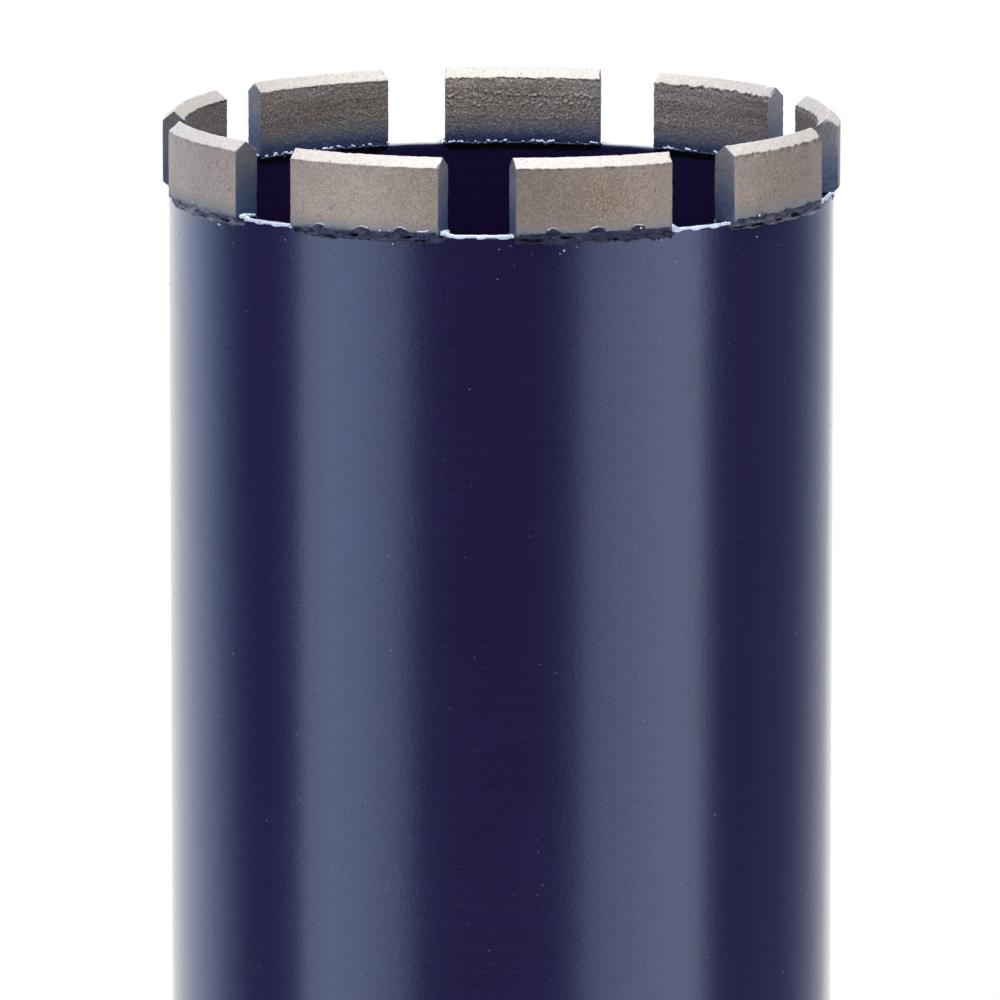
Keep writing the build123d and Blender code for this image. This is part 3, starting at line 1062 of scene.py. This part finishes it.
def nugget_hills(along, number):
    """The round rise of the three nuggets at each place along the bead, 1 at their middles."""
    rng = np.random.default_rng(2000 + number)
    hills = np.zeros(len(along))
    for nugget in range(NUGGET_COUNT):
        place = (nugget - (NUGGET_COUNT - 1) / 2) * NUGGET_PITCH + rng.uniform(-0.4, 0.4)
        away = np.abs(along - place) / (NUGGET_HALF_WIDTH * rng.uniform(0.9, 1.1))
        hills = np.maximum(hills, np.sqrt(np.clip(1 - away ** 2, 0, 1)))
    return hills


def bead_edges(along, hills, number):
    """The levels of the bead's ragged lower and upper edges at each place along it."""
    run = np.stack([np.zeros(len(along)), along, np.zeros(len(along))], 1)
    lift_first, lift_last, lift_low = BEAD_LIFT.get(number, (0.0, 0.0, 0.0))
    low = BEAD_LOW_EDGE + 0.22 * waves(run, 2.8, 1800 + number) + 0.22 * waves(run, 0.9, 1850 + number)
    low += lift_low
    notch, notch_half, notch_height = BEAD_NOTCH
    low += notch_height * np.exp(-((along - notch) / notch_half) ** 2)
    top = BEAD_TOP_EDGE + 0.08 * waves(run, 1.3, 1900 + number)
    top += FULLNESS.get(number, 1.0) * NUGGET_RISE * hills
    top += np.interp(along, [-HALF_LENGTH, HALF_LENGTH], [lift_first, lift_last])
    return low, top


def hollows(along, level, folds, number):
    """Where the crevices are, 1 inside them, at each point of a bead."""
    lift_low = BEAD_LIFT.get(number, (0.0, 0.0, 0.0))[2]
    found = []
    for place, height, long_half, high_half in crevices(number):
        inside = ((along - place) / long_half) ** 2 + ((level - height - lift_low) / high_half) ** 2
        found.append(fall(inside + 2.0 * folds, 0.35, 1.1))
    return found


def braze_bead(number, material):
    """The braze outside: it slopes from the segment's foot to the barrel, with folds and nuggets."""
    counts = FRONT_BEAD_DIVISIONS if number in FRONT else BEAD_DIVISIONS
    cells, faces = block_shell(counts)
    first, last = BEAD_OVERRUN
    along = -HALF_LENGTH - first + (SEGMENT_LENGTH + first + last) * cells[:, 1] / counts[1]
    rounded = 1 - fall(np.abs(along), HALF_LENGTH - 0.25, HALF_LENGTH - 0.05)
    top = BEAD_TOP - (BEAD_TOP + 0.3) * rounded
    level = BEAD_BOTTOM + (top - BEAD_BOTTOM) * cells[:, 2] / counts[2]
    flat = np.stack([np.zeros(len(cells)), along, level], 1)
    slanted = flat * (1, 0.24, 1.0) + along[:, None] * (0, 0, 0.05)
    lava = waves(slanted, 0.80, 1600 + number)
    creases = np.clip(1 - np.abs(lava) * 1.4, 0, 1) ** 3
    folds = BROAD_FOLD * lava + FINE_FOLD * waves(flat, 0.6, 1700 + number)
    hills = nugget_hills(along, number)
    low_edge, top_edge = bead_edges(along, hills, number)

    lean = number in LEAN_BEADS
    relief = folds + NUGGET_BULGE * hills * fall(-level, 0.0, 0.9) - CREASE_DEPTH * creases
    face_r = OUTER_R + np.interp(level, *(LEAN_SLOPE if lean else FULL_SLOPE))
    face_r += FULLNESS.get(number, 1.0) * relief
    if not lean:
        proud = np.maximum(face_r, SEGMENT_OUTER_R + 0.06)
        face_r = np.where(level > 0, proud, face_r)
    face_r -= 0.6 * fall(level - low_edge, -0.20, 0.12)
    face_r -= 0.8 * (1 - fall(level - top_edge, -0.12, 0.06))
    # Painted shade: creases, crevices and a shaded bead are darkened through the pits value.
    pits = np.maximum(0.70 * creases, BEAD_SHADE.get(number, 0.0))
    for hollow in hollows(along, level, folds, number):
        face_r -= CREVICE_DEPTH * hollow
        pits = np.maximum(pits, hollow)
    face_r -= 1.1 * fall(along + HALF_LENGTH + first, 0.0, BEAD_START.get(number, 0.9))
    face_r -= 1.0 * fall(HALF_LENGTH + last - along, 0.0, 1.9)
    # Painted highlight: a thin pale crescent along each nugget's crest. The haze pales the folds.
    crest = fall(np.abs(level - top_edge + 0.10), 0.01, 0.15) * np.clip(hills * 2.5 - 0.6, 0, 1)
    haze = HAZE.get(number, 0.0) * np.clip(0.2 + lava, 0, 1)
    worn = np.maximum(crest * CREST_HIGHLIGHT.get(number, 0.15), haze)

    back_r = OUTER_R - BEAD_BACK
    outside = cells[:, 0] == counts[0]
    radius = np.where(outside, np.clip(face_r, back_r + 0.05, BEAD_LIMIT_R), back_r)
    points = np.stack([radius, along, level + RIM], 1)
    piece = finish_mesh(f"braze_bead_{number}", station(points, number), faces, material, None)
    add_values(piece, "pits", pits * outside)
    add_values(piece, "worn", worn * outside)
    return piece


# Glints outside, by segment: drops of bright braze that stand in for painted highlights. Radius, place
# along it, height over the rim, size.
GLINTS = {
    1: [(51.48, 6.7, 0.85, 0.17), (50.00, -4.7, -2.2, 0.18), (50.00, -2.8, -1.75, 0.11),
        (50.00, -5.3, -2.6, 0.11), (50.30, 10.3, -1.3, 0.16)],
    2: [(51.40, -7.3, 0.85, 0.20), (50.00, -6.0, -2.6, 0.13)],
    8: [(51.06, 0.0, 0.92, 0.12), (50.5, 7.0, -1.4, 0.2), (50.5, 7.4, -1.5, 0.16)],
    9: [(51.12, 3.1, 0.62, 0.12), (51.12, 3.3, 0.57, 0.12), (51.12, 4.7, 0.70, 0.12),
        (51.08, 9.00, 0.70, 0.13), (51.08, 9.25, 0.72, 0.14), (51.08, 9.50, 0.68, 0.14),
        (51.08, 9.75, 0.68, 0.14), (51.08, 10.0, 0.72, 0.14), (51.08, 10.25, 0.80, 0.14),
        (51.08, 10.5, 0.86, 0.13), (50.30, 4.9, -1.4, 0.16)],
}


def ridge_drops(rng):
    """A row of drops along the bore side's foot, with jagged clumps on it."""
    drops = []
    for along in np.arange(-HALF_LENGTH + 0.1, HALF_LENGTH, RIDGE_PITCH):
        drops.append((RIDGE_R, along, -0.02 + rng.uniform(-0.06, 0.06), rng.uniform(0.14, 0.22)))
    for _ in range(CLUMPS):
        start = rng.uniform(-HALF_LENGTH + 0.2, HALF_LENGTH - 1.2)
        lift = rng.uniform(0.05, 0.36)
        lean = rng.uniform(-0.6, 0.6)
        for step in range(rng.integers(1, 6)):
            place = CLUMP_PITCH * step
            radius = CLUMP_R + rng.uniform(-0.05, 0.05)
            height = lift + lean * place + rng.uniform(-0.06, 0.06)
            drops.append((radius, start + place, height, rng.uniform(0.13, 0.26)))
    return drops


def corner_drops(rng, number, side):
    """The blobs at one end of a segment. The first end's reach only the outer half of the rim."""
    scale = CORNER_SCALE.get((number, side), 1.0 if side > 0 else SMALL_CORNER)
    rise = CORNER_RISE if side > 0 else 0.0
    drops = []
    for radius, past, height, size in CORNER_DROPS:
        if side < 0 and radius < 49.5:
            continue
        out = HALF_LENGTH + past + rng.uniform(-0.03, 0.08)
        height += rise * fall(out, HALF_LENGTH + 0.3, HALF_LENGTH + 1.2)
        drops.append((radius, side * out, height, scale * size))
    return drops


def film_drops(number, side):
    """A row of drops that makes the film on the rim beside a segment, with a second row where it sags."""
    start = HALF_LENGTH + FILM_START
    drops = []
    for step in range(FILM_DROPS):
        share = step / (FILM_DROPS - 1)
        along = side * (start + (FILM_REACH - start) * share)
        size = FILM_SIZE - 0.04 * share + 0.03 * math.sin(along * 2.3 + number)
        drops.append((FILM_R, along, -0.08 - 0.03 * share + 0.02 * math.sin(along * 3.1), size))
        sag = math.sin(along * 1.9 + 2.0 * number)
        if sag > 0.15:
            drops.append((SAG_R, along, -0.18 - 0.16 * sag, SAG_SIZE))
    return drops


def bright_drops(number):
    """Drops of bright braze: a jagged row at the bore side, blobs at the corners, a film along the rim."""
    rng = np.random.default_rng(900 + number)
    drops = ridge_drops(rng)
    for side in (-1, 1):
        drops += corner_drops(rng, number, side)
        if (number, side) not in NO_FILM:
            drops += film_drops(number, side)
    return np.array(drops + GLINTS.get(number, []))


def braze_ridge(number, tree, material):
    """The bright braze of one segment, melted into one skin."""
    drops = bright_drops(number)
    points = station(drops[:, :3] + (0, 0, RIM), number)
    piece = empty_piece(f"braze_ridge_{number}")
    piece.data.from_pydata(points.tolist(), [], [])
    add_values(piece, "drop", drops[:, 3])
    return grow(piece, tree, {"Voxel": BRAZE_VOXEL, "Unit": MM, "Material": material})


def braze_fillet(number, material):
    """The fillet inside the bore, from the segment's overhang down to the bore's wall."""
    counts = FILLET_DIVISIONS
    cells, faces = block_shell(counts)
    half = HALF_LENGTH + FILLET_OVERRUN
    along = (2 * cells[:, 1] / counts[1] - 1) * half
    share = cells[:, 2] / counts[2]
    run = np.stack([np.zeros(len(cells)), along, share], 1)
    low = -FILLET_DROP + 0.16 * (1 + waves(run * (1, 1, 0), 2.2, 2100 + number))
    low += 0.55 * fall(half - np.abs(along), 0.0, 1.8)
    level = low + (0.05 - low) * share
    front_r = INNER_R - 0.02 - 0.40 * share + 0.05 * waves(run, 0.7, 2200 + number)
    front_r += 0.5 * fall(half - np.abs(along), 0.0, 0.4)
    radius = np.where(cells[:, 0] == counts[0], INNER_R + FILLET_BACK, front_r)
    points = np.stack([radius, along, level + RIM], 1)
    return finish_mesh(f"braze_fillet_{number}", station(points, number), faces, material, None)


# ---------------------------------------------------------------- hub

def hexagon_outline():
    """The hexagon's outline with soft corners, as (angle, radius)."""
    flat = HEX_ACROSS_FLATS / 2
    side = flat * math.tan(math.radians(30)) - HEX_CORNER_R * math.tan(math.radians(30))
    outline = []
    for face in range(6):
        turn = math.radians(60 * face)
        way = np.array([math.cos(turn), math.sin(turn)])
        across = np.array([-math.sin(turn), math.cos(turn)])
        for place in np.linspace(-side, side, FLAT_POINTS):
            outline.append(way * flat + across * place)
        centre = way * (flat - HEX_CORNER_R) + across * side
        for step in np.radians(np.linspace(0, 60, 7)[1:-1]):
            outline.append(centre + HEX_CORNER_R * (way * math.cos(step) + across * math.sin(step)))
    outline = np.array(outline)
    return np.arctan2(outline[:, 1], outline[:, 0]), np.hypot(outline[:, 0], outline[:, 1])


def thread_depth(angle, height):
    """How deep the thread is cut at an angle and height, from its 60 degree form."""
    phase = (height / THREAD_PITCH - angle / (2 * math.pi)) % 1.0
    off_centre = np.abs(phase - 0.5) * THREAD_PITCH
    deepest = THREAD_MAJOR_R - THREAD_CORE_R
    half_flat = THREAD_PITCH / 16
    cut = deepest - np.maximum(off_centre - half_flat, 0.0) * math.tan(FLANK_ANGLE)
    run_out = np.clip((THREAD_DEPTH - THREAD_BLIND - height) / THREAD_RUN_OUT, 0, 1)
    return np.clip(cut, 0, deepest) * run_out


def hub_piece(material):
    """The hub: hexagon, collar, water way and a cut thread, in one closed skin."""
    angles, hex_r = hexagon_outline()
    soft = COLLAR_EDGE_RADIUS
    levels = np.arange(THREAD_DEPTH, 0.0, -THREAD_STEP)
    columns = []
    for angle, r in zip(angles, hex_r):
        rise = (r - SEAT_R) * math.tan(CORNER_ANGLE)
        thread_r = np.maximum(THREAD_CORE_R + thread_depth(angle, levels), THREAD_MOUTH_R - levels)
        columns.append(np.concatenate([
            steps((THREAD_MOUTH_R, 0.0), (SEAT_R, 0.0), 5),
            steps((SEAT_R, 0.0), (r, rise), 6),
            steps((r, rise), (r, HEX_HEIGHT), 12),
            steps((r, HEX_HEIGHT), (COLLAR_R - soft, HEX_HEIGHT), 3),
            corner_arc((COLLAR_R - soft, HEX_HEIGHT + soft), soft, -90, 0, 5),
            steps((COLLAR_R, HEX_HEIGHT + soft), (COLLAR_R, PLATE_BOTTOM), 4)[1:],
            steps((COLLAR_R, PLATE_BOTTOM), (WATER_WAY_R, PLATE_BOTTOM), 4),
            steps((WATER_WAY_R, PLATE_BOTTOM), (WATER_WAY_R, THREAD_DEPTH), 3),
            steps((WATER_WAY_R, THREAD_DEPTH), (THREAD_CORE_R, THREAD_DEPTH), 3),
            np.stack([thread_r, levels], 1),
        ]))
    rows = len(columns[0])
    profile = np.concatenate(columns)
    angle = np.repeat(angles, rows)
    points = np.stack([profile[:, 0] * np.cos(angle), profile[:, 0] * np.sin(angle), profile[:, 1]], 1)
    return finish_mesh("threaded_hub", points, ring_faces(len(angles), rows), material, 24.0)


def hub_weld_piece(material):
    """The fillet weld round the collar, laid down in overlapping ripples."""
    sides = WELD_RIPPLES * RIPPLE_SIDES
    ring = np.arange(sides) * 2 * math.pi / sides
    angle = np.repeat(ring, WELD_ROWS)
    t = np.tile(np.linspace(0.0, 1.0, WELD_ROWS), sides)
    swell = np.sin(math.pi * t)
    trail = WELD_RIPPLES * angle / (2 * math.pi) - 0.9 * swell
    crest = np.abs((trail % 1.0) - 0.5) * 2
    wander = np.sin(3 * angle) * 0.12 + np.sin(7 * angle + 1.3) * 0.10
    bulge = swell * (0.35 + 0.32 * (1 - crest ** 2) + wander)
    r = COLLAR_R + HUB_WELD_LEG * t + bulge * math.sqrt(0.5)
    z = PLATE_BOTTOM - HUB_WELD_LEG * (1 - t) - bulge * math.sqrt(0.5)
    skin = np.stack([r * np.cos(angle), r * np.sin(angle), z], 1).reshape(sides, WELD_ROWS, 3)
    root = np.stack([COLLAR_R * np.cos(ring), COLLAR_R * np.sin(ring), np.full(sides, PLATE_BOTTOM)], 1)
    columns = np.concatenate([skin, root[:, None, :]], 1)
    faces = ring_faces(sides, WELD_ROWS + 1)
    return finish_mesh("collar_weld", columns.reshape(-1, 3), faces, material, 60.0)


# ---------------------------------------------------------------- studio

def studio_floor():
    """A pale round floor that fades out into the white and is clear from below."""
    material = bpy.data.materials.new("studio_floor")
    material.use_nodes = True
    tree = material.node_tree
    tree.nodes.clear()
    place = tree.nodes.new("ShaderNodeTexCoord").outputs["Object"]
    far = vector_math(tree, "LENGTH", place).outputs["Value"]
    fade = spans(tree, far, FADE_START, FADE_END)
    back = tree.nodes.new("ShaderNodeNewGeometry").outputs["Backfacing"]
    path = tree.nodes.new("ShaderNodeLightPath").outputs
    passing = math_node(tree, "MAXIMUM", path["Is Shadow Ray"], path["Is Diffuse Ray"])
    clear = math_node(tree, "MAXIMUM", math_node(tree, "MAXIMUM", fade, back), passing)
    pale = add_node(tree, "ShaderNodeBsdfDiffuse", Color=(0.80, 0.80, 0.80, 1.0))
    through = add_node(tree, "ShaderNodeBsdfTransparent", Color=(1.0, 1.0, 1.0, 1.0))
    mixed = add_node(tree, "ShaderNodeMixShader", n0=clear, n1=pale.outputs[0], n2=through.outputs[0])
    output = tree.nodes.new("ShaderNodeOutputMaterial")
    tree.links.new(mixed.outputs[0], output.inputs[0])

    bpy.ops.mesh.primitive_circle_add(
        vertices=96, radius=FLOOR_RADIUS, fill_type="NGON", location=(0, 0, 0)
    )
    floor = bpy.context.object
    floor.data.transform(floor.matrix_world)
    floor.name = "studio_floor"
    floor.location = (0, 0, -FLOOR_DROP)
    floor.data.materials.append(material)


# What the studio shows round the object, as (degrees from the camera, light level, colour).
COOL = (0.90, 0.92, 1.0)
PLAIN = (1.0, 0.99, 1.0)
HALO_BLUE = (0.56, 0.70, 1.0)
DEEP_BLUE = (0.42, 0.62, 1.0)
SOFT_BLUE = (0.66, 0.78, 1.0)
VIOLET = (0.22, 0.18, 1.0)
ROUND = [
    (-180, 1.05, COOL), (-150, 1.03, COOL), (-132, 1.08, SOFT_BLUE), (-122, 0.93, HALO_BLUE),
    (-113, 0.56, DEEP_BLUE), (-106, 0.20, DEEP_BLUE), (-96, 0.13, VIOLET), (-82, 0.12, VIOLET),
    (-76, 0.24, COOL), (-71, 2.15, COOL), (-60, 2.40, COOL), (-48, 2.05, COOL), (-36, 1.45, COOL),
    (-28, 0.12, COOL), (-22, 0.03, PLAIN), (19, 0.03, PLAIN), (25, 0.30, PLAIN), (31, 1.40, PLAIN),
    (46, 1.90, PLAIN), (60, 2.22, PLAIN), (71, 2.22, PLAIN), (77, 0.30, PLAIN), (82, 0.05, VIOLET),
    (106, 0.17, DEEP_BLUE), (122, 0.17, DEEP_BLUE), (136, 0.40, HALO_BLUE), (158, 0.70, COOL),
    (180, 0.88, PLAIN),
]
BRIGHTEST = 2.5
CEILING_LEVEL = 1.3
LAMP_LEVEL = 3.7
GROUND_LEVEL = 0.75
# Where the white behind the object starts in mirrored rays, and how far that band is turned.
WHITE_BEHIND = math.radians(160.5)
WHITE_TURN = math.radians(3)


def grey(level):
    """A grey of that level."""
    return (level, level, level)


def surroundings(tree, widened):
    """The lit panels, the blue halo and the dark round the object, at each azimuth from the camera."""
    share = spans(tree, widened, -math.pi, math.pi, smooth=False)
    ramp = tree.nodes.new("ShaderNodeValToRGB")
    tree.links.new(share, ramp.inputs[0])
    stops = ramp.color_ramp.elements
    while len(stops) < len(ROUND):
        stops.new(0.5)
    for stop, (degrees, level, colour) in zip(stops, ROUND):
        stop.position = (degrees + 180.0) / 360.0
        stop.color = (*[channel * level / BRIGHTEST for channel in colour], 1.0)
    return tint(tree, ramp.outputs[0], grey(BRIGHTEST))


def studio_world():
    """White behind, two tall soft panels in front, a soft ceiling, and dark where the camera stands."""
    world = bpy.data.worlds.new("studio")
    bpy.context.scene.world = world
    world.use_nodes = True
    tree = world.node_tree
    tree.nodes.clear()
    way = tree.nodes.new("ShaderNodeTexCoord").outputs["Generated"]
    facing = add_node(tree, "ShaderNodeVectorRotate", {"rotation_type": "Z_AXIS"},
                      Vector=way, Angle=-CAMERA_AZIMUTH)
    split = add_node(tree, "ShaderNodeSeparateXYZ", Vector=facing.outputs[0]).outputs
    around = math_node(tree, "ARCTAN2", split["X"], math_node(tree, "MULTIPLY", split["Y"], -1.0))
    rise = split["Z"]
    turned_away = math_node(tree, "ABSOLUTE", around)
    sideways = spans(tree, turned_away, math.radians(90), math.radians(110), 0.0, 0.95)
    lean = spans(tree, rise, -0.23, -0.10, 0.08, -0.05, False)
    widened = math_node(tree, "MULTIPLY_ADD", math_node(tree, "MULTIPLY", sideways, lean), around, around)

    lit = surroundings(tree, widened)
    lit = blend_colours(tree, spans(tree, rise, 0.45, 0.75), lit, grey(CEILING_LEVEL))
    lit = blend_colours(tree, spans(tree, rise, 0.80, 0.93), lit, grey(LAMP_LEVEL))
    lit = blend_colours(tree, spans(tree, rise, -0.26, -0.42), lit, grey(GROUND_LEVEL))

    path = tree.nodes.new("ShaderNodeLightPath").outputs
    off_side = math_node(tree, "ABSOLUTE", math_node(tree, "SUBTRACT", widened, WHITE_TURN))
    behind = math_node(tree, "GREATER_THAN", off_side, WHITE_BEHIND)
    mirrored = math_node(tree, "MULTIPLY", path["Is Glossy Ray"], behind)
    straight = math_node(tree, "ADD", path["Is Camera Ray"], path["Is Transmission Ray"])
    seen = math_node(tree, "MINIMUM", math_node(tree, "ADD", straight, mirrored), 1.0)
    colour = blend_colours(tree, seen, lit, grey(1.0))
    background = add_node(tree, "ShaderNodeBackground", Color=colour, Strength=1.0)
    output = tree.nodes.new("ShaderNodeOutputWorld")
    tree.links.new(background.outputs[0], output.inputs[0])


def studio_camera():
    """The camera, level, looking a little down at the barrel's upper part."""
    data = bpy.data.cameras.new("camera")
    data.sensor_fit = "HORIZONTAL"
    data.sensor_width = 36.0
    data.lens = CAMERA_LENS
    camera = bpy.data.objects.new("camera", data)
    bpy.context.scene.collection.objects.link(camera)
    right = Vector((math.cos(CAMERA_AZIMUTH), math.sin(CAMERA_AZIMUTH), 0.0))
    level = math.cos(CAMERA_ELEVATION)
    back = Vector((
        math.sin(CAMERA_AZIMUTH) * level, -math.cos(CAMERA_AZIMUTH) * level, math.sin(CAMERA_ELEVATION)
    ))
    aim = Vector((0.0, 0.0, (RIM - AIM_BELOW_RIM) * MM)) + right * AIM_SIDE_SHIFT * MM
    camera.location = aim + back * CAMERA_DISTANCE
    camera.rotation_euler = (-back).to_track_quat("-Z", "Y").to_euler()
    bpy.context.scene.camera = camera


# ---------------------------------------------------------------- putting it together

def dress():
    """Every piece, with the nodes that it stands for."""
    paint = barrel_paint()
    declare(barrel_piece(paint), "barrel_paint", "barrel")
    declare(end_plate_piece(paint), "barrel_paint", "end_plate")
    declare(hub_weld_piece(paint), "barrel_paint", "hub_weld")
    dust = paint_dust()
    nibs = nib_tree()
    declare(paint_nibs(nibs, dust), "barrel_paint")
    declare(hub_piece(hub_steel()), "hub_steel", "hub")
    declare(braze_spatter(nibs, dust), "painted_braze")
    powder = sintered_segment()
    braze = painted_braze()
    bright = bright_braze()
    shadow_black = overhang_shadow()
    skin = bead_tree()
    for number in range(1, SEGMENT_COUNT + 1):
        declare(segment_piece(number, powder), "sintered_segment", f"segment_{number}")
        declare(braze_bead(number, braze), "painted_braze", f"braze_{number}")
        declare(braze_ridge(number, skin, bright), "painted_braze", f"braze_{number}")
        # The fillet is painted black as the shadow under the overhang.
        declare(braze_fillet(number, shadow_black), "painted_braze", f"braze_{number}")


dress()
studio_floor()
studio_world()
studio_camera()
bpy.context.scene.view_settings.view_transform = "Standard"
